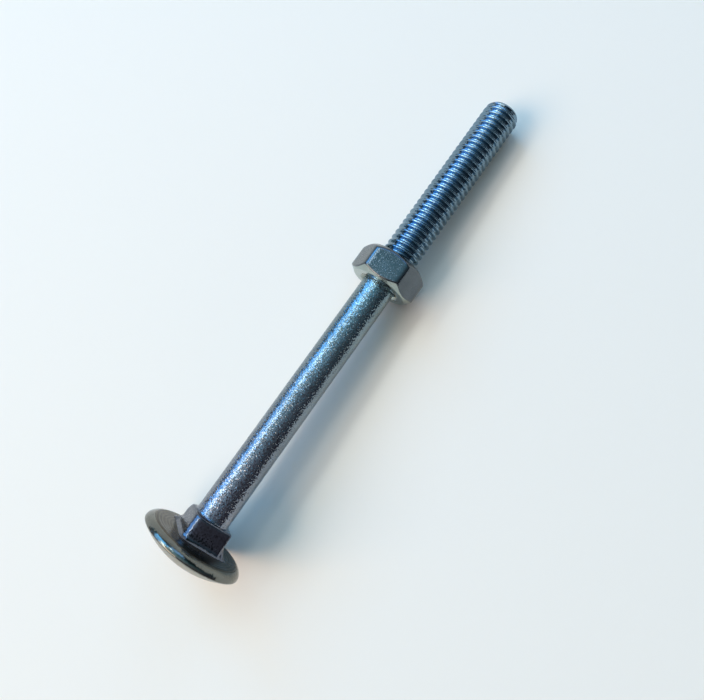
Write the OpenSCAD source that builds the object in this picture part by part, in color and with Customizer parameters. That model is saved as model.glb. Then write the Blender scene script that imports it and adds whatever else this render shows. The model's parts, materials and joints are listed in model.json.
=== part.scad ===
// Carriage bolt with a square neck and a domed head, carrying a hexagon nut on its thread.
// Units are millimetres. The bolt runs along +X from the head to the tip and +Z is up.
// The origin is the centre of the head's bearing face. The whole part is turned about Y by
// rest_tilt, so that it lies on the head's rim and on the lowest flat of the nut.

/* [Shank] */
// length from the bearing face to the tip
bolt_length = 80; // [72:1:120]
// diameter of the plain shank
shank_d = 5.26; // [5.1:0.02:5.5]

/* [Head] */
// widest diameter of the head
head_d = 15.7; // [14.5:0.1:18]
// sphere radius of the dome
dome_radius = 14.4; // [10:0.1:18]
// depth from the bearing face back to the widest circle
rim_depth = 1.1; // [0.6:0.05:1.4]
// cylindrical land at the widest circle
rim_land = 0.12; // [0.1:0.02:0.6]
// width of the rolled edge between the bearing face and the widest circle
rim_roll = 1.5; // [0.8:0.05:1.8]

/* [Square neck] */
// distance across the flats of the square
neck_square = 5.9; // [5.6:0.05:6.3]
// diameter over the rounded corners of the square
neck_corner_d = 8.06; // [7.8:0.02:8.1]
// length of the square from the bearing face
neck_length = 3.5; // [3:0.1:6]
// bevel at the end of the square's corners
neck_bevel = 0.3; // [0.1:0.05:0.5]
// roll of the square about the bolt's axis
neck_roll = 30.6; // [0:0.2:60]
// diameter reached by the four corner flares at the bearing face
flare_d = 11.6; // [9.5:0.1:12]
// height of the corner flares
flare_height = 2.2; // [1.2:0.1:2.6]
// width of one corner flare
flare_width = 1.7; // [1.2:0.1:2.2]
// height of the step that ends the square
neck_step = 0.35; // [0.2:0.05:0.6]
// width of that step outside the shank
neck_step_out = 0.16; // [0.1:0.02:0.25]

/* [Thread] */
// diameter over the thread crests
thread_d = 5.8; // [5.7:0.02:6]
// distance from the bearing face to the start of the thread
thread_start = 44.75; // [40:0.25:44.75]
// length over which the shank sinks to the thread's roots
thread_runout = 0.5; // [0.3:0.1:1]
// distance from one crest to the next
thread_pitch = 1; // [0.9:0.05:1.25]
// depth of the thread, from crest to root
thread_depth = 0.54; // [0.4:0.01:0.6]
// width of the flat on a crest
crest_flat = 0.12; // [0.08:0.01:0.15]
// length of the chamfer at the tip
tip_chamfer = 0.7; // [0.4:0.05:1]
// diameter of the flat end of the tip
tip_d = 5; // [4.6:0.05:5.3]

/* [Nut] */
// distance across the flats of the nut
nut_flats = 9.8; // [9.5:0.05:11]
// height of the nut
nut_height = 4.8; // [4:0.1:6]
// distance from the bearing face to the near face of the nut
nut_start = 44.6; // [44:0.1:50]
// diameter of the round face left by the corner chamfers
nut_face_d = 9.2; // [8.8:0.05:9.4]
// angle of the corner chamfers to the end faces
nut_chamfer_angle = 40; // [25:1:42]
// radial clearance between the nut and the thread crests
thread_clearance = 0.05; // [0.03:0.01:0.1]
// width of the countersink at each end of the nut
countersink = 0.35; // [0.2:0.05:0.5]

/* [Hidden] */
$fn = 96;
eps = 0.01;
head_r = head_d / 2;
rim_top_x = -rim_depth - rim_land;
dome_centre_x = rim_top_x + sqrt(dome_radius * dome_radius - head_r * head_r);
neck_corner_r = neck_corner_d / 2;
thread_r = thread_d / 2;
root_r = thread_r - thread_depth;
flank_run = thread_depth * tan(30);
thread_turns = ceil((bolt_length - thread_start) / thread_pitch);
shank_r = shank_d / 2;
bore_r = thread_r + thread_clearance;
nut_end = nut_start + nut_height;
nut_corner_r = nut_flats / 2 / cos(30);
chamfer_slope = tan(nut_chamfer_angle);
flat_cut = (nut_flats / 2 - nut_face_d / 2) * chamfer_slope;
corner_cut = (nut_corner_r - nut_face_d / 2) * chamfer_slope;
rest_run = nut_end - flat_cut + rim_depth;
rest_tilt = atan((head_r - nut_flats / 2) / rest_run);

// A cylinder or cone along +X from x0 to x1.
module along_x(x0, x1, r0, r1) {
  translate([x0, 0, 0])
    rotate([0, 90, 0])
      cylinder(h = x1 - x0, r1 = r0, r2 = r1);
}

// The whole part is turned to the way it lies.
module at_rest() {
  rotate([0, rest_tilt, 0])
    children();
}

// Domed head: a spherical cap, a narrow land, then a rolled edge up to the bearing face.
module head() {
  intersection() {
    translate([dome_centre_x, 0, 0])
      rotate([0, 90, 0])
        sphere(r = dome_radius);
    along_x(-2 * dome_radius, rim_top_x, dome_radius, dome_radius);
  }
  along_x(rim_top_x, -rim_depth, head_r, head_r);
  rolled_edge = [
    for (a = [0 : 18 : 90])
      [head_r - rim_roll + rim_roll * cos(a), -rim_depth + rim_depth * sin(a)]
  ];
  rotate([0, 90, 0])
    rotate_extrude()
      polygon(concat([[0, -rim_depth]], rolled_edge, [[0, 0]]));
}

// Square neck with rounded corners, corner flares at its base and a step up to the shank.
module neck() {
  rotate([neck_roll, 0, 0]) {
    intersection() {
      translate([-eps, -neck_square / 2, -neck_square / 2])
        cube([neck_length + eps, neck_square, neck_square]);
      along_x(-eps, neck_length, neck_corner_r, neck_corner_r);
      along_x(-eps, neck_length, neck_corner_r - neck_bevel + neck_length, neck_corner_r - neck_bevel);
    }
    for (turn = [45, 135])
      intersection() {
        along_x(-eps, flare_height, flare_d / 2, neck_corner_r - eps);
        rotate([turn, 0, 0])
          translate([-1, -flare_width / 2, -flare_d])
            cube([flare_height + 2, flare_width, 2 * flare_d]);
      }
  }
  along_x(neck_length - eps, neck_length + neck_step, shank_r + neck_step_out, shank_r);
}

// Plain shank, which sinks to the thread's roots at its end.
module shank() {
  along_x(-eps, thread_start, shank_r, shank_r);
  along_x(thread_start - eps, thread_start + thread_runout, shank_r, root_r);
}

// Thread of 60 degree form. Its ridges are closed rings, one for each turn of the helix,
// and the cone of the chamfer trims the last ones at the tip.
module thread() {
  ridge = [
    [root_r, -crest_flat / 2 - flank_run],
    [thread_r, -crest_flat / 2],
    [thread_r, crest_flat / 2],
    [root_r, crest_flat / 2 + flank_run]
  ];
  first_crest = thread_start + thread_pitch;
  outline = concat(
    [[0, thread_start], [root_r, thread_start]],
    [for (i = [0 : thread_turns - 1], p = ridge) [p[0], first_crest + i * thread_pitch + p[1]]],
    [[0, first_crest + thread_turns * thread_pitch]]
  );
  chamfer_slope = (thread_r - tip_d / 2) / tip_chamfer;
  intersection() {
    rotate([0, 90, 0])
      rotate_extrude()
        polygon(outline);
    along_x(
      thread_start, bolt_length,
      tip_d / 2 + (bolt_length - thread_start) * chamfer_slope, tip_d / 2
    );
  }
}

module bolt() {
  color([0.62, 0.66, 0.7])
    at_rest() {
      head();
      neck();
      shank();
      thread();
    }
}

// Hexagon nut lying on a flat, both ends chamfered, bored to clear the thread crests.
module nut() {
  hexagon = [for (i = [0 : 5]) [nut_corner_r * cos(60 * i), nut_corner_r * sin(60 * i)]];
  profile = [
    [0, 0],
    [nut_face_d / 2, 0],
    [nut_corner_r + eps, corner_cut + eps * chamfer_slope],
    [nut_corner_r + eps, nut_height - corner_cut - eps * chamfer_slope],
    [nut_face_d / 2, nut_height],
    [0, nut_height]
  ];
  color([0.55, 0.6, 0.64])
    at_rest()
      difference() {
        translate([nut_start, 0, 0])
          rotate([0, 90, 0])
            intersection() {
              rotate([0, 0, 30])
                linear_extrude(height = nut_height)
                  polygon(hexagon);
              rotate_extrude()
                polygon(profile);
            }
        along_x(nut_start - 1, nut_end + 1, bore_r, bore_r);
        along_x(nut_start - eps, nut_start + countersink, bore_r + countersink, bore_r - eps);
        along_x(nut_end - countersink, nut_end + eps, bore_r - eps, bore_r + countersink);
      }
}

bolt();
nut();
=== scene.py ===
# %% [markdown]
# A carriage bolt is forged, rolled and zinc plated, and it carries one hexagon nut.
# The CAD model gives the plain solids and where they lie, and this lesson dresses them:
# a detailed skin for the bolt with its real screw thread, a nut with soft corners,
# and the bright zinc finish on both. Lengths are worked in millimetres along the bolt
# and turned into the frame's metres in one place.

import json
import math

import bmesh
import bpy
import numpy as np
from mathutils import Matrix, Vector


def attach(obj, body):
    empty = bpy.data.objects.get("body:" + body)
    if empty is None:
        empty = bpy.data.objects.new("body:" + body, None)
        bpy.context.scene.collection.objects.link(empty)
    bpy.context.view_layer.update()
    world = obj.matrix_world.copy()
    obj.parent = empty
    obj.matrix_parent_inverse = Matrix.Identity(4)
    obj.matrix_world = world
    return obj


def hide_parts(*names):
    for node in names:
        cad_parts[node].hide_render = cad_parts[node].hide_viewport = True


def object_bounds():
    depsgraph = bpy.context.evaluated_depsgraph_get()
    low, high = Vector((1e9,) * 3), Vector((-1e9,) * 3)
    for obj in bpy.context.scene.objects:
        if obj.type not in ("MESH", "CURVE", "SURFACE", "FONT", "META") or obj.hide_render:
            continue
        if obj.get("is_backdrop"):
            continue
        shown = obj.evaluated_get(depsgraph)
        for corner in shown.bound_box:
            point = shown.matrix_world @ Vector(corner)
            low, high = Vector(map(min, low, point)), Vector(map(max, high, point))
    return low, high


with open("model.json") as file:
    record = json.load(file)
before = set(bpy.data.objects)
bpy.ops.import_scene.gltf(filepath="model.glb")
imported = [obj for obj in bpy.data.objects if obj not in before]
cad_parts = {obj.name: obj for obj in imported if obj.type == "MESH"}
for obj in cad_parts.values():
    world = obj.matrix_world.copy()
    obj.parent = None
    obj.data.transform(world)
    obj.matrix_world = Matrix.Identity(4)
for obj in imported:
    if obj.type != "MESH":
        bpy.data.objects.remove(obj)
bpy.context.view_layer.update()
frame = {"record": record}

# %% [markdown]
# The bolt lies on its head's rim and on the nut, so its own axis dips a little towards
# the tip. The record states that axis on the mount at the head's bearing face. A helper
# turns points given along the bolt, x from the bearing face, into the frame.

# %% From the bolt's own axis to the frame
MM = 0.001
mounts = {m["name"]: m for m in frame["record"]["mounts"]}
bolt_axis = Vector(mounts["bearing_face"]["axis"]).normalized()
rest_tilt = math.atan2(-bolt_axis.z, bolt_axis.x)
along_bolt = Matrix.Rotation(rest_tilt, 4, "Y")
print("axis dips by", round(math.degrees(rest_tilt), 2), "degrees")


def into_frame(points_mm):
    turn = np.array(along_bolt.to_3x3())
    return np.asarray(points_mm) @ turn.T * MM


# %% [markdown]
# These are the sizes of an M6 bolt and nut in millimetres. They follow the CAD model,
# and differ from it by a tenth of a millimetre at most, at the square, at the nut's
# faces and in the thread's depth, where the real metal is softer than the solids.

# %% Sizes in millimetres
LENGTH = 80.0
SHANK_R = 2.63
HEAD_R, DOME_R, RIM_DEPTH, RIM_ROLL = 7.85, 14.4, 1.1, 1.5
NECK_HALF, NECK_LENGTH, NECK_ROLL = 2.96, 3.5, math.radians(30.6)
FLARE_R, FLARE_HEIGHT = 5.8, 2.2
PITCH, CREST_R = 1.0, 2.9
THREAD_START, RUNOUT, TIP_CHAMFER, TIP_R = 44.75, 0.5, 0.7, 2.5
NUT_START, NUT_HEIGHT, NUT_HALF, NUT_FACE_R = 44.6, 4.8, 4.9, 4.5
NUT_CHAMFER = math.radians(38)
THREAD_GAP, SINK_R = 0.05, 3.3
print("bolt is", LENGTH, "mm long under its head, and the nut", 2 * NUT_HALF, "mm across")

# %% [markdown]
# Both pieces are skins of rings: each ring is a closed loop around the axis, and
# neighbouring rings are joined by quads. That suits a turned and rolled part, because
# any radius can be a function of the place along the bolt and of the angle round it.
# A modelled grid also keeps the helix of the thread, which a lathe tool can't make.

# %% A ring, and the faces between rings
def ring(x, radius, angles):
    """One closed loop at x along the bolt; x and radius may change round it."""
    x, radius = np.broadcast_to(x, angles.shape), np.broadcast_to(radius, angles.shape)
    return np.stack([x, radius * np.cos(angles), radius * np.sin(angles)], 1)


def quads_between(count, around, closed_loop, spiral):
    """Four corners for each face. Where the rows climb as a screw, the last column
    joins the first one a turn further on; spiral is (first row, last row, rows a turn)."""
    row = np.arange(count if closed_loop else count - 1)[:, None]
    k = np.arange(around)[None, :]
    beside, above = row + 0 * k, row + 1 + 0 * k
    if spiral:
        first, last, turn = spiral
        seam = (k == around - 1) & (row >= first) & (row < last)
        beside = np.where(seam, np.minimum(row + turn, last), beside)
        above = np.where(seam, np.minimum(row + 1 + turn, last), above)
    here, up, j = row * around, (row + 1) % count * around, (k + 1) % around
    corners = [here + k, beside * around + j, above % count * around + j, up + k]
    return np.stack(corners, 2).reshape(-1, 4).tolist()


# %% [markdown]
# A skin is one mesh object. A bolt's skin is closed by a face at each end, and a nut's
# runs through the bore and back to its start. Each band of faces between two rings has
# the number of its finish. Points that coincide, as where the screw runs out, are welded.

# %% A skin from rings
WELD_MM = 0.0005  # points closer than this are one point


def skin(name, rings, finishes, closed_loop=False, spiral=None):
    """rings run head to tip; finishes is one material index for each band."""
    count, around = len(rings), len(rings[0])
    faces = quads_between(count, around, closed_loop, spiral)
    marks = np.repeat(finishes, around).tolist()
    if not closed_loop:
        last = (count - 1) * around
        faces.append(list(range(around - 1, -1, -1)))
        faces.append(list(range(last, last + around)))
        marks += [finishes[0], finishes[-1]]
    mesh = bpy.data.meshes.new(name)
    mesh.from_pydata(into_frame(np.concatenate(rings)).tolist(), [], faces)
    mesh.polygons.foreach_set("material_index", marks)
    mesh.polygons.foreach_set("use_smooth", [True] * len(faces))
    welded = bmesh.new()
    welded.from_mesh(mesh)
    bmesh.ops.remove_doubles(welded, verts=welded.verts, dist=WELD_MM * MM)
    welded.to_mesh(mesh)
    welded.free()
    piece = bpy.data.objects.new(name, mesh)
    bpy.context.scene.collection.objects.link(piece)
    print(name, "has", len(mesh.polygons), "faces")
    return piece


# %% [markdown]
# Around the bolt the rings have 128 points. Near the square neck the points are drawn
# together at the four corners, so that the corners stay crisp, and they spread out
# evenly again along the shank.

# %% Angles round the bolt
AROUND = 128
PULL = 0.72  # how strongly the corners draw the points together, from 0 to 1
even_angles = np.arange(AROUND) * 2 * math.pi / AROUND
corner_phase = even_angles - NECK_ROLL - math.pi / 4


def neck_angles(pull):
    return even_angles - pull * np.sin(4 * corner_phase) / 4


head_angles = neck_angles(PULL)
print("points are", round(float(np.degrees(np.diff(head_angles).min())), 2), "degrees apart at a corner")

# %% [markdown]
# The head is forged: a shallow dome, a rim rounded all the way round, and a small crease
# under the rim where the two dies met. The dome is part of a sphere, and where it comes
# near the rim a short curve turns it over, which catches a bright line of light.

# %% Head rings
DOME, RIM, UNDERSIDE, NECK, SHANK, THREAD = range(6)  # the bolt's finishes
DOME_EDGE = 0.12  # mm above the rim's roll, where the sphere would meet the rim
TURN_OVER = 0.27  # mm in from the rim, where the dome starts to turn over
# mm from the axis, closer together towards the crown, which a small face closes, and the rim
DOME_RADII = [0.12, 0.4, 0.8, 1.3, 1.9, 2.6, 3.3, 4.0, 4.7, 5.3, 5.9, 6.4, 6.8, 7.15, 7.4]
CREASE_AT, CREASE_DEPTH = 66, 0.03  # degrees round the rim's roll, and mm
bolt_rings, bolt_bands = [], []


def add_ring(points, band):
    bolt_rings.append(points)
    bolt_bands.append(band)


dome_centre = -RIM_DEPTH - DOME_EDGE + math.sqrt(DOME_R**2 - HEAD_R**2)
edge_r = HEAD_R - TURN_OVER
edge_drop = math.sqrt(DOME_R**2 - edge_r**2)
edge_x = dome_centre - edge_drop
tangent_x = edge_x + TURN_OVER * edge_r / edge_drop
for r in DOME_RADII:
    add_ring(ring(dome_centre - math.sqrt(DOME_R**2 - r**2), r, head_angles), DOME)
for t in np.linspace(0, 0.8, 5):  # a curve from the sphere's slope to the rim's
    x = (1 - t) ** 2 * edge_x + 2 * t * (1 - t) * tangent_x - t**2 * RIM_DEPTH
    add_ring(ring(x, HEAD_R - TURN_OVER * (1 - t) ** 2, head_angles), RIM)
for step in range(0, 91, 3):
    turn = math.radians(step)
    crease = CREASE_DEPTH if step == CREASE_AT else 0.0
    x = RIM_DEPTH * (math.sin(turn) - 1) - crease
    r = HEAD_R - RIM_ROLL * (1 - math.cos(turn))
    add_ring(ring(x, r, head_angles), RIM if step < CREASE_AT else UNDERSIDE)
crown = -bolt_rings[0][0][0]
print("head is", round(2 * HEAD_R, 1), "mm across and", round(crown, 2), "mm high")

# %% [markdown]
# Under the head is a square that stops the bolt turning in wood. Forging leaves it far
# from perfect: the dies are worn broad at one corner, one far corner is worn back at the
# end, and a thin web of metal spreads on to the head beside two of the corners. A flat
# at a distance is a bound on the radius, and adding the bounds as high powers gives the
# outline of all of them with corners that stay a little soft.

# %% The outline of the worn square
CORNER_R = 4.06  # from the axis to a crisp corner
BROAD_CORNER = [(38, 3.62), (80, 3.193)]  # two facets, by degrees round and mm from the axis
SHARPNESS = 40
WEAR_DEPTH, WEAR_FROM = 0.8, 1.9
WEBS = [(300, 1.0), (152, 0.7)]  # by degrees round and share of the full size
WEB_WIDTH, WEB_FOOT_R = 12, 4.0  # degrees, and mm from the axis
FILLET_DEPTH, FILLET_HEIGHT = 0.35, 0.6


def toward(angles, way_degrees):
    """Each point's angle away from a way round that is counted from the first flat."""
    return angles - NECK_ROLL - math.radians(way_degrees)


def square_radius(angles, worn):
    bounds = [(way, NECK_HALF) for way in (0, 90, 180, 270)] + BROAD_CORNER
    bounds += [(135, CORNER_R), (225, CORNER_R), (315, CORNER_R - worn)]
    total = sum((np.maximum(np.cos(toward(angles, way)), 0) / away) ** SHARPNESS for way, away in bounds)
    return total ** (-1 / SHARPNESS)


def web_share(angles):
    """1 where a web is full, falling to 0 within its width on both sides."""
    share = 0
    for way, size in WEBS:
        away = (toward(angles, way) + math.pi) % (2 * math.pi) - math.pi
        share = share + size * np.exp(-((away / math.radians(WEB_WIDTH)) ** 4))
    return share


def neck_radius(x, angles):
    worn = WEAR_DEPTH * min(1.0, max(0.0, (x - WEAR_FROM) / (NECK_LENGTH - WEAR_FROM))) ** 2
    web = (FLARE_R - WEB_FOOT_R) * max(0.0, 1 - x / FLARE_HEIGHT) ** 1.4 * web_share(angles)
    fillet = FILLET_DEPTH * max(0.0, 1 - x / FILLET_HEIGHT) ** 2
    return square_radius(angles, worn) + web + fillet


base = neck_radius(0.0, head_angles)
print("neck spreads to", round(float(base.max()), 2), "mm from the axis at the head")

# %% [markdown]
# The bearing face under the head runs in to the square. Its outline changes from a
# circle to the square, so each ring is a blend of the two. The tool left fine rings on
# it. They are real relief here, seven thousandths of a millimetre deep, because polished
# metal shows even that at a low angle.

# %% Bearing face rings
TOOL_RING_DEPTH, TOOL_RING_PITCH = 0.007, 0.42
for share in np.linspace(0, 1, 60)[1:-1]:
    r = (1 - share) * (HEAD_R - RIM_ROLL) + share * base
    relief = TOOL_RING_DEPTH * np.sin(2 * math.pi * r / TOOL_RING_PITCH) * (1 - share) ** 0.5
    add_ring(ring(relief, r, head_angles), UNDERSIDE)
print("bearing face has tool rings every", TOOL_RING_PITCH, "mm")

# %% [markdown]
# The neck rises from the head as a grid of rings, closer together at its foot, where the
# webs and the fillet curve. Its end rounds over and steps in to the shank with a fillet.

# %% Neck rings
NECK_HEIGHTS = [0, 0.05, 0.12, 0.2, 0.3, 0.45, 0.6, 0.8, 1.0, 1.25, 1.5, 1.75, 2.0, 2.25, 2.5]
# mm below the end and mm cut from the outline
END_ROUNDING = [(0.7, 0), (0.4, 0), (0.22, 0.01), (0.12, 0.05), (0.05, 0.12), (0.01, 0.24)]
END_CUT, STEP_R, FILLET_R = 0.3, SHANK_R + 0.17, SHANK_R + 0.16  # the cut end, down to a fillet
for x in NECK_HEIGHTS:
    add_ring(ring(x, neck_radius(x, head_angles), head_angles), NECK)
for below, cut in END_ROUNDING:
    r = np.maximum(neck_radius(NECK_LENGTH - below, head_angles) - cut, STEP_R)
    add_ring(ring(NECK_LENGTH - below, r, head_angles), NECK)
end_r = np.maximum(neck_radius(NECK_LENGTH, head_angles) - END_CUT, STEP_R)
for share in [0.08, 0.3, 0.6, 0.85, 1.0]:
    r = (1 - share) * end_r + share * FILLET_R
    add_ring(ring(NECK_LENGTH + 0.05 * share, r, head_angles), NECK)
for past, out in [(0.15, 0.12), (0.25, 0.06), (0.35, 0.02)]:
    add_ring(ring(NECK_LENGTH + past, SHANK_R + out, head_angles), SHANK)
print("neck is", round(2 * NECK_HALF, 2), "mm across its flats")

# %% [markdown]
# The plain shank is drawn wire. The pull on the angles fades out along it, so that the
# points are evenly spread where the thread begins.

# %% Shank rings
FADE_FROM, FADE_LENGTH = 4.0, 12.0
for x in np.linspace(NECK_LENGTH + 0.5, THREAD_START - 0.1, 30):
    fade = max(0.0, 1 - (x - FADE_FROM) / FADE_LENGTH)
    add_ring(ring(x, SHANK_R, neck_angles(PULL * fade)), SHANK)
print("shank is", 2 * SHANK_R, "mm thick")

# %% [markdown]
# The thread is rolled: a 60 degree form with a 1 mm pitch, a rounded crest and a rounded
# root. Its radius depends on how far along the helix a point is, which is the place
# along the bolt less one pitch for each full turn. That makes it right-handed.

# %% The rolled form
FORM_AWAY = [0, 0.06, 0.10, 0.14, 0.24, 0.36, 0.42, 0.5]  # mm from the middle of a crest
FORM_DOWN = [0, 0.004, 0.025, 0.075, 0.27, 0.48, 0.52, 0.53]  # mm below it


def thread_form(x, angles):
    """Radius of the rolled form at x: a crest where the helix passes."""
    helix = (x / PITCH - angles / (2 * math.pi)) % 1.0
    return CREST_R - np.interp(np.abs(helix - 0.5) * PITCH, FORM_AWAY, FORM_DOWN)


def thread_radius(x, angles):
    """The form as it grows out of the shank and as the tip's chamfer cuts it."""
    grown = np.clip((x - THREAD_START) / RUNOUT, 0, 1)
    form = SHANK_R + (thread_form(x, angles) - SHANK_R) * grown
    past = np.maximum(0.0, x - (LENGTH - TIP_CHAMFER))
    return np.minimum(form, CREST_R - past * (CREST_R - TIP_R) / TIP_CHAMFER)


print("thread is", FORM_DOWN[-1], "mm deep")

# %% [markdown]
# The rows of the grid climb with the helix, so that a crest is one clean row all the way
# along. Flat rings would cross the crests and leave them jagged. Where a row would leave
# the threaded length it stays at its end, and the points that coincide are welded.

# %% Thread rows and the bolt's skin
steps = [-away for away in FORM_AWAY[:0:-1]] + FORM_AWAY[:-1]
first_row, thread_end = len(bolt_rings), LENGTH - 0.05
climb = even_angles / (2 * math.pi) * PITCH
for turn in range(math.floor(THREAD_START) - 1, math.ceil(LENGTH) + 1):
    for step in steps:
        x = np.clip(turn + 0.5 + step + climb, THREAD_START, thread_end)
        add_ring(ring(x, thread_radius(x, even_angles), even_angles), THREAD)
last_row = len(bolt_rings) - 1
end_form = thread_radius(thread_end, even_angles)
for back, r in [(0.02, end_form - 0.04), (0, end_form - 0.12), (0, end_form * 0.6), (0, end_form * 0.2)]:
    add_ring(ring(LENGTH - back, r, even_angles), THREAD)
bolt = skin("bolt_forging", bolt_rings, bolt_bands[:-1], spiral=(first_row, last_row, len(steps)))
print("thread has", round((LENGTH - THREAD_START) / PITCH), "turns")

# %% [markdown]
# The nut is cold formed, so its six corners and the edges of its flats are soft, and
# the flats look like small cushions. A hexagon with soft corners comes from adding the
# three pairs of flats as powers. The two ends are chamfered at a shallow angle, and the
# end that faces the head has a crisper edge than the other.

# %% Outline and ends of the nut
NUT_AROUND, NUT_SHARPNESS = 192, 26
HEAD_END_SOFT, TIP_END_SOFT = 0.15, 0.3  # mm of soft edge between the flats and a chamfer
nut_angles = np.arange(NUT_AROUND) * 2 * math.pi / NUT_AROUND
flat_ways = [math.pi / 2 + k * math.pi / 3 for k in range(3)]
pairs = [np.abs(np.cos(nut_angles - way)) ** NUT_SHARPNESS for way in flat_ways]
hexagon = NUT_HALF / sum(pairs) ** (1 / NUT_SHARPNESS)
middle, half = NUT_START + NUT_HEIGHT / 2, NUT_HEIGHT / 2
chamfer = (hexagon - NUT_FACE_R) * math.tan(NUT_CHAMFER)


def nut_end_profile(soft):
    """From the middle of a flat out to one end and in to the countersink: (height, radius)."""
    steps = [(0.6, hexagon), (half - chamfer - soft - 0.1, hexagon)]
    for turn in np.linspace(0, 1, 7):  # the soft edge
        back, out = soft * (1 - turn) ** 2, soft * turn**2
        steps.append((half - chamfer - back + out * math.tan(NUT_CHAMFER), hexagon - out))
    for share in [0.35, 0.55, 0.75, 0.9]:  # the chamfer
        out = np.maximum(hexagon - soft - NUT_FACE_R, 0) * share + soft
        steps.append((half - chamfer + out * math.tan(NUT_CHAMFER), hexagon - out))
    # the face, with a rounded edge at the chamfer and another at the countersink
    steps += [(half - 0.012, NUT_FACE_R - 0.03), (half, NUT_FACE_R - 0.12)]
    steps += [(half, r) for r in [4.2, 3.9, 3.6, SINK_R + 0.08]] + [(half - 0.015, SINK_R)]
    return steps


head_end, tip_end = nut_end_profile(HEAD_END_SOFT), nut_end_profile(TIP_END_SOFT)
print("nut is", round(2 * float(hexagon.max()), 2), "mm across its soft corners")

# %% [markdown]
# Through the nut runs a thread that clears the bolt's by a small gap. It uses the same
# form and the same helix, so that the two are in mesh at rest and, as the nut slides by
# whole turns, at both ends of its travel. A facing tool cut both ends. Those ends and the
# chamfer on the head side are painted paler than the flats, as a painted reflection.

# %% The nut's skin
SIDES, ENDS = range(2)  # the nut's finishes
# the pale ends finish is a painted reflection; these are its bands at each end
HEAD_PALE_BANDS, TIP_PALE_BANDS = 11, 7  # bands that the facing tool has cut at each end


def nut_bore(x):
    inner = thread_form(x, nut_angles) + THREAD_GAP
    depth = min(x - NUT_START, NUT_START + NUT_HEIGHT - x)
    return np.maximum(inner, SINK_R - depth)


nut_rings = [ring(middle - h, r, nut_angles) for h, r in head_end[::-1]]
nut_rings += [ring(middle + h, r, nut_angles) for h, r in tip_end]
nut_bands = [ENDS] * HEAD_PALE_BANDS + [SIDES] * (len(nut_rings) - HEAD_PALE_BANDS - TIP_PALE_BANDS)
bore_x = np.arange(NUT_START + NUT_HEIGHT - 0.05, NUT_START + 0.04, -PITCH / 20)
nut_rings += [ring(x, nut_bore(x), nut_angles) for x in bore_x]
nut_bands += [ENDS] * (len(nut_rings) - len(nut_bands))
nut = skin("hexagon_nut", nut_rings, nut_bands, closed_loop=True)

# %% [markdown]
# Both skins ride on the CAD bodies of the same name and stand for the plain solids.

# %% Ride and replace
for piece, node, slot in [(bolt, "bolt", "bolt_steel"), (nut, "nut", "nut_steel")]:
    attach(piece, node)
    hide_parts(node)
    print(piece.name, "rides on", node)

# %% [markdown]
# Colours are written as sRGB hex values, as a colour picker shows them, and one
# function turns them into the linear values that the shader needs. A second function
# adds a node with its settings and its wires, and a third turns a real size into the
# scale of a pattern.

# %% Colour and node helpers
def linear(hex_colour):
    parts = [int(hex_colour[i : i + 2], 16) / 255 for i in (1, 3, 5)]
    return [c / 12.92 if c <= 0.04045 else ((c + 0.055) / 1.055) ** 2.4 for c in parts] + [1.0]


def add(tree, kind, wires=(), **settings):
    """Adds one node. A wire is (input, output of another node) or (input, fixed value);
    the settings are its properties, or its inputs by name."""
    node = tree.nodes.new(kind)
    for name, value in settings.items():
        if name in node.inputs:
            node.inputs[name].default_value = value
        else:
            setattr(node, name, value)
    for socket, source in wires:
        if isinstance(source, bpy.types.NodeSocket):
            tree.links.new(node.inputs[socket], source)
        else:
            node.inputs[socket].default_value = source
    return node


def per_mm(size_mm):
    """Texture scale, in repeats for each metre, for a feature of this size."""
    return 1000.0 / size_mm


print("a mid grey, #808080, is", round(linear("#808080")[0], 3), "in linear light")

# %% [markdown]
# Bright zinc over steel has a blue cast, because the plated part is dipped in a clear
# blue passivate, and the film's hue drifts along the part. Slow clouds of a few
# millimetres make it a little darker and duller here and there, as handling does.
# Where a facing tool has cut, each ring gets a painted highlight and a painted shade in
# turn, which keeps the rings visible where the relief is too shallow to show.

# %% Colour and dullness of the zinc
CLOUD_MM = 3.5
HUE_FROM, HUE_TO = 5 * MM, 44 * MM  # the hue drifts from the neck to the nut
SHADES, DULLNESS, PAINTED_RING_SHADING = (0.82, 1.08), (0.8, 1.2), (0.6, 1.5)
WAVE_UNIT = 2 * math.pi / 20  # a wave texture at scale 1 repeats at this distance


def zinc_colour(tree, where, head_hue, nut_hue, shade, rings_mm):
    """The film's colour at each place, less the clouds, with the painted highlight and shade of the tool's
    rings.
    """
    along = add(tree, "ShaderNodeSeparateXYZ", [("Vector", where)]).outputs["X"]
    reach = [("Value", along), ("From Min", HUE_FROM), ("From Max", HUE_TO)]
    drift = add(tree, "ShaderNodeMapRange", reach)
    hues = [("Factor", drift.outputs["Result"]), (6, linear(head_hue)), (7, linear(nut_hue))]
    film = add(tree, "ShaderNodeMix", hues, data_type="RGBA")
    clouded = add(tree, "ShaderNodeVectorMath", [(0, film.outputs[2]), ("Scale", shade)], operation="SCALE")
    if not rings_mm:
        return clouded.outputs["Vector"]
    waves = add(tree, "ShaderNodeTexWave", [("Vector", where)], Scale=per_mm(rings_mm) * WAVE_UNIT)
    waves.wave_type, waves.rings_direction = "RINGS", "X"
    waves.inputs["Distortion"].default_value = 1.5
    # each ring is painted lighter and darker in turn: a painted highlight and shade
    low, high = PAINTED_RING_SHADING
    span = [("Value", waves.outputs["Fac"]), ("To Min", low), ("To Max", high)]
    bright = add(tree, "ShaderNodeMapRange", span)
    turned = [(0, clouded.outputs["Vector"]), ("Scale", bright.outputs["Result"])]
    return add(tree, "ShaderNodeVectorMath", turned, operation="SCALE").outputs["Vector"]


print("zinc is clouded every", CLOUD_MM, "mm")

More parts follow.
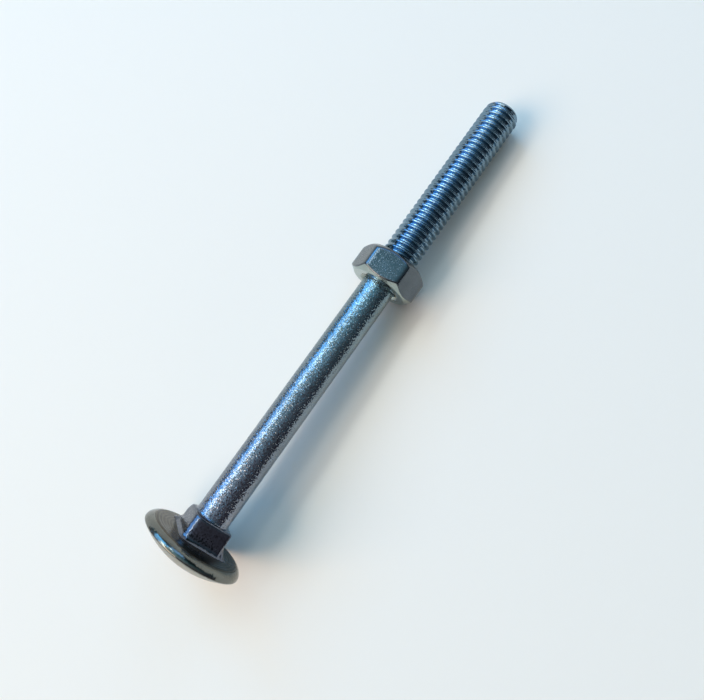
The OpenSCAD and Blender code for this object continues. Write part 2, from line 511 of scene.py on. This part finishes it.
# %% [markdown]
# The steel underneath decides how the light breaks up. A slow swell is real bump. The
# fine grain is too steep and too small for bump to show well, so it tilts the normal by
# itself: a noise colour is a random direction, and its distance from grey is multiplied
# by itself, so that most grains lean little and a few flecks lean far. Those flecks are
# what glitters beside the bright stripe on drawn wire.

# %% Grain of the steel
TYPICAL_LEAN = 0.17  # how far a noise colour usually is from grey
GREY = (0.5, 0.5, 0.5)


def zinc_normal(tree, where, grain_mm, grain_tilt, swell_mm, swell_depth_mm):
    """grain_tilt is the slope of a usual grain, as a part of one."""
    swell = add(tree, "ShaderNodeTexNoise", [("Vector", where)], Scale=per_mm(swell_mm), Detail=1.0)
    wave = add(tree, "ShaderNodeBump", [("Height", swell.outputs["Fac"])], Distance=swell_depth_mm * MM)
    grain = add(tree, "ShaderNodeTexNoise", [("Vector", where)], Scale=per_mm(grain_mm), Detail=2.0)
    lean = add(tree, "ShaderNodeVectorMath", [(0, grain.outputs["Color"]), (1, GREY)], operation="SUBTRACT")
    size = add(tree, "ShaderNodeVectorMath", [(0, lean.outputs[0])], operation="LENGTH")
    growth = [(0, size.outputs["Value"]), (1, grain_tilt / TYPICAL_LEAN)]
    fleck = add(tree, "ShaderNodeMath", growth, operation="MULTIPLY")
    steeper = [(0, lean.outputs[0]), ("Scale", fleck.outputs[0])]
    tilt = add(tree, "ShaderNodeVectorMath", steeper, operation="SCALE")
    both = add(tree, "ShaderNodeVectorMath", [(0, tilt.outputs[0]), (1, wave.outputs[0])], operation="ADD")
    normal = add(tree, "ShaderNodeVectorMath", [(0, both.outputs[0])], operation="NORMALIZE")
    return normal.outputs["Vector"]


print("grain leans by its tilt where its colour is", TYPICAL_LEAN, "from grey")

# %% [markdown]
# One recipe makes every finish from its real sizes: a metal with the default IOR, a hue
# at each end, a roughness that follows the clouds, and a grain and a swell in mm.

# %% One zinc finish
NOISE_SPAN = (0.3, 0.7)  # a noise seldom goes past these


def zinc(name, hue, roughness, grain, swell, nut_hue=None, rings_mm=0):
    """grain is (size in mm, tilt) and swell is (size, depth), both in mm."""
    material = bpy.data.materials.new(name)
    material.use_nodes = True
    tree = material.node_tree
    shader = tree.nodes["Principled BSDF"]
    shader.inputs["Metallic"].default_value = 1.0
    where = add(tree, "ShaderNodeTexCoord").outputs["Object"]
    cloud = add(tree, "ShaderNodeTexNoise", [("Vector", where)], Scale=per_mm(CLOUD_MM), Detail=4.0)
    shade, dull = [add(tree, "ShaderNodeMapRange", [("Value", cloud.outputs["Fac"])]) for _ in range(2)]
    dullest = [roughness * share for share in DULLNESS]
    for node, (low, high) in [(shade, SHADES), (dull, dullest)]:
        for socket, value in zip(["From Min", "From Max", "To Min", "To Max"], [*NOISE_SPAN, low, high]):
            node.inputs[socket].default_value = value
    colour = zinc_colour(tree, where, hue, nut_hue or hue, shade.outputs["Result"], rings_mm)
    tree.links.new(shader.inputs["Base Color"], colour)
    tree.links.new(shader.inputs["Roughness"], dull.outputs["Result"])
    tree.links.new(shader.inputs["Normal"], zinc_normal(tree, where, *grain, *swell))
    print(name, "has grains of", grain[0], "mm")
    return material


# %% [markdown]
# The bolt has six finishes in the order of its bands. They are one plating on steel that
# was forged, turned, drawn and rolled, and each of those leaves another surface; the
# underside's dark brown is painted shade on top of that.

# %% Finishes of the bolt
bolt_finishes = [
    # forged and tumbled: dull and a little olive, so that the dome looks soft
    zinc("zinc_plated_forged_dome", "#9f998b", 0.34, (0.4, 0.2), (1.2, 0.02)),
    # rubbed bright as the parts tumble: it mirrors the window as one sharp line
    zinc("zinc_plated_rolled_rim", "#76766f", 0.14, (0.3, 0.3), (1.0, 0.02)),
    # faced by a tool, with rings drawn a little wider apart than real so they show; its dark brown is
    # painted shade under the head
    zinc("zinc_plated_underside_painted_shade", "#4c463b", 0.3, (0.3, 0.1), (1.0, 0.01), rings_mm=0.55),
    # forged between polished dies: dark and glossy, like a black mirror with faint waves
    zinc("zinc_plated_forged_neck", "#646872", 0.13, (0.2, 0.5), (1.0, 0.02)),
    # drawn through a die, then etched: an orange peel that glitters; real grains are about
    # half as wide, and are drawn coarser so that they show
    zinc("zinc_plated_drawn_shank", "#858a94", 0.11, (0.2, 1.25), (0.8, 0.005), nut_hue="#7c8d92"),
    # rolled under high pressure: smooth, and bluer than the rest
    zinc("zinc_plated_rolled_thread", "#7890a0", 0.12, (0.25, 0.3), (1.0, 0.005)),
]
for finish in bolt_finishes:
    bolt.data.materials.append(finish)

# %% [markdown]
# The nut has two finishes. Its flats are as the cold forming left them, and its ends
# were faced, and they are painted brighter and a little green, as a painted reflection.

# %% Finishes of the nut
nut_finishes = [
    # cold formed: slate grey and almost flat, with small flecks
    zinc("zinc_plated_cold_formed_flats", "#5f6569", 0.15, (0.15, 0.42), (1.5, 0.01)),
    # faced by a tool, and painted pale and a little green as a painted reflection
    zinc("zinc_plated_ends_painted_reflection", "#a6b1ac", 0.2, (0.3, 0.1), (1.5, 0.01)),
]
for finish in nut_finishes:
    nut.data.materials.append(finish)

# %% [markdown]
# The bolt lies on a plain white board. Its paint is a little warm, because the light
# that falls on it is a little blue, and together they look white.

# %% Floor
FLOOR_HALF = 2.0
low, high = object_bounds()
floor_mesh = bpy.data.meshes.new("floor")
corners = [(-1, -1), (1, -1), (1, 1), (-1, 1)]
floor_mesh.from_pydata([(x * FLOOR_HALF, y * FLOOR_HALF, low.z) for x, y in corners], [], [(0, 1, 2, 3)])
floor = bpy.data.objects.new("floor", floor_mesh)
bpy.context.scene.collection.objects.link(floor)
paint = bpy.data.materials.new("matt_white_board")
paint.use_nodes = True
board = paint.node_tree.nodes["Principled BSDF"]
board.inputs["Base Color"].default_value = linear("#f8ecdb")
board.inputs["Roughness"].default_value = 0.9
floor_mesh.materials.append(paint)
floor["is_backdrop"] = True
print("floor lies at", round(low.z / MM, 2), "mm")

# %% [markdown]
# A lying cylinder mirrors its surroundings in stripes: each direction round it becomes a
# line along it. So every lamp is set by how high it stands over the side of the bolt
# that faces the window. A narrow strip gives the white line, and a wide blue softbox
# lower down gives the sky beside that line. Both have a twin over the tip. Two side
# lamps light the dome and the flanks of the thread, one warm and one cool.

# %% Lamps
def softbox(name, place, target, width, height, power_w, colour):
    data = bpy.data.lights.new(name, "AREA")
    data.shape = "RECTANGLE"
    data.size, data.size_y = width, height
    data.energy = power_w
    data.color = linear(colour)[:3]
    lamp = bpy.data.objects.new(name, data)
    lamp.location = place
    lamp.rotation_euler = (Vector(target) - Vector(place)).to_track_quat("-Z", "Y").to_euler()
    bpy.context.scene.collection.objects.link(lamp)
    print(name, "gives", power_w, "W")


def over(x, rise_degrees, far=0.9):
    """A place at x, this high over the side of the bolt that faces the window."""
    rise = math.radians(rise_degrees)
    return (x, far * math.cos(rise), far * math.sin(rise))


SHANK_X, TIP_X = -0.1, 0.46  # metres; the lamps are long, so they stand well out past the bolt
softbox("window_strip", over(SHANK_X, 51), (SHANK_X, 0, 0), 0.75, 0.11, 1.8, "#e6f8ff")
softbox("tip_window_strip", over(TIP_X, 66), (TIP_X, 0, 0), 0.36, 0.13, 0.9, "#d8ecff")
softbox("sky_softbox", over(SHANK_X, 33), (SHANK_X, 0, 0), 0.75, 0.40, 2.4, "#66b6ff")
softbox("tip_sky_softbox", over(TIP_X, 38), (TIP_X, 0, 0), 0.36, 0.62, 3.2, "#5cb2ff")
softbox("head_side_softbox", (-0.62, 0.42, 0.62), (0.02, 0, 0), 0.6, 0.6, 7.0, "#ffead6")
softbox("tip_side_softbox", (0.75, 0.15, 0.6), (0.05, 0, 0), 0.5, 0.5, 1.7, "#8fc2ff")

# %% [markdown]
# Polished metal shows the room more than itself, so the world is a room in plain
# colours. It is brightest overhead on the window's side and dark low on the other side.
# The direction of a point of the sky is its generated coordinate, and its share along a
# fixed direction picks the colour from a ramp.

# %% The room's light and dark
BRIGHTEST_WAY = (0.0, 0.42, 0.91)
ROOM = [(0.0, "#565760"), (0.3, "#71767c"), (0.64, "#8d96a1")]  # the dark side and the walls
ROOM += [(0.82, "#afc6d5"), (0.94, "#d6efff"), (1.0, "#e4fcff")]  # the bright ceiling
world = bpy.data.worlds.new("studio_room")
world.use_nodes = True
tree = world.node_tree
where = add(tree, "ShaderNodeTexCoord").outputs["Generated"]
toward_window = add(tree, "ShaderNodeVectorMath", [(0, where), (1, BRIGHTEST_WAY)], operation="DOT_PRODUCT")
room = add(tree, "ShaderNodeValToRGB", [("Fac", toward_window.outputs["Value"])])
for _ in ROOM[2:]:  # a new ramp has two stops
    room.color_ramp.elements.new(0.5)
for stop, (position, colour) in zip(room.color_ramp.elements, ROOM):
    stop.position, stop.color = position, linear(colour)
print("the room has", len(ROOM), "shades")

# %% [markdown]
# Along the bolt the room changes too. It is a dark plum at the head end and teal at the
# tip end, which is why one plating looks purple at one end and blue at the other. The
# two end walls are pale and low. Smooth fades by direction bound all of these.

# %% The room's tint and its end walls
TINTS = [(0.04, (0.2, 0.16, 0.18)), (0.15, (1.0, 0.88, 0.9))]  # from the head end
TINTS += [(0.5, (0.9, 0.97, 1.0)), (1.0, (0.5, 1.0, 1.1))]  # to the tip end
DIM_SHARE = 0.2  # how much of the room's light is left towards the ends
place = add(tree, "ShaderNodeSeparateXYZ", [("Vector", where)])
outward = add(tree, "ShaderNodeMath", [(0, place.outputs["X"])], operation="ABSOLUTE")
aside = add(tree, "ShaderNodeMath", [(0, place.outputs["Y"])], operation="ABSOLUTE")
to_tip = add(tree, "ShaderNodeMapRange", [("Value", place.outputs["X"])])
dimmer = add(tree, "ShaderNodeMapRange", [("Value", outward.outputs[0])])
end_wall = add(tree, "ShaderNodeMapRange", [("Value", aside.outputs[0])])
near_floor = add(tree, "ShaderNodeMapRange", [("Value", place.outputs["Z"])])
for node in (dimmer, end_wall, near_floor):
    node.interpolation_type = "SMOOTHSTEP"
# each fade runs between two shares of a direction along its own axis
spans = [(to_tip, -0.36, 0.5), (dimmer, 0.64, 0.46), (end_wall, 0.86, 0.7), (near_floor, 0.4, 0.2)]
for node, start, end in spans:
    node.inputs["From Min"].default_value = start
    node.inputs["From Max"].default_value = end
dimmer.inputs["To Min"].default_value = DIM_SHARE
tint = add(tree, "ShaderNodeValToRGB", [("Fac", to_tip.outputs[0])])
for _ in TINTS[2:]:
    tint.color_ramp.elements.new(0.5)
for stop, (position, hue) in zip(tint.color_ramp.elements, TINTS):
    stop.position, stop.color = position, (*hue, 1)
shades = [(0, room.outputs["Color"]), (1, tint.outputs["Color"])]
hued = add(tree, "ShaderNodeVectorMath", shades, operation="MULTIPLY")
dimming = [(0, hued.outputs[0]), ("Scale", dimmer.outputs[0])]
dimmed = add(tree, "ShaderNodeVectorMath", dimming, operation="SCALE")
both_fades = [(0, end_wall.outputs[0]), (1, near_floor.outputs[0])]
share = add(tree, "ShaderNodeMath", both_fades, operation="MULTIPLY")
walls = [("Factor", share.outputs[0]), (6, dimmed.outputs[0]), (7, linear("#dfe6ea"))]
walled = add(tree, "ShaderNodeMix", walls, data_type="RGBA")
tree.links.new(tree.nodes["Background"].inputs["Color"], walled.outputs[2])
bpy.context.scene.world = world
bpy.context.scene.view_settings.view_transform = "Standard"
print("the room is tinted from plum to teal in", len(TINTS), "steps")

# %% [markdown]
# The camera is close over the bolt, between the head and the nut, and looks almost
# straight down. At this short distance the head and the nut both show the faces that
# look towards the middle of the bolt. The lens is shifted to set the bolt in the frame.

# %% Camera
lens = bpy.data.cameras.new("close_camera")
lens.lens = 30.56
lens.sensor_width = 36.0
lens.shift_x, lens.shift_y = 0.0224, -0.0595
lens.clip_start = 0.005
camera = bpy.data.objects.new("close_camera", lens)
camera.location = (0.028868, -0.015811, 0.085714)
camera.rotation_euler = [math.radians(a) for a in (11.931, 6.634, -54.636)]
bpy.context.scene.collection.objects.link(camera)
bpy.context.scene.camera = camera
print("camera is", round(camera.location.z / MM), "mm above the bolt's bearing face")

# %% [markdown]
# The last step measures the dressed part's box and prints it.

# %% Measure and finish
low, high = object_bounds()
print("visual box, mm:", [round(1000 * x, 2) for x in (*low, *high)])
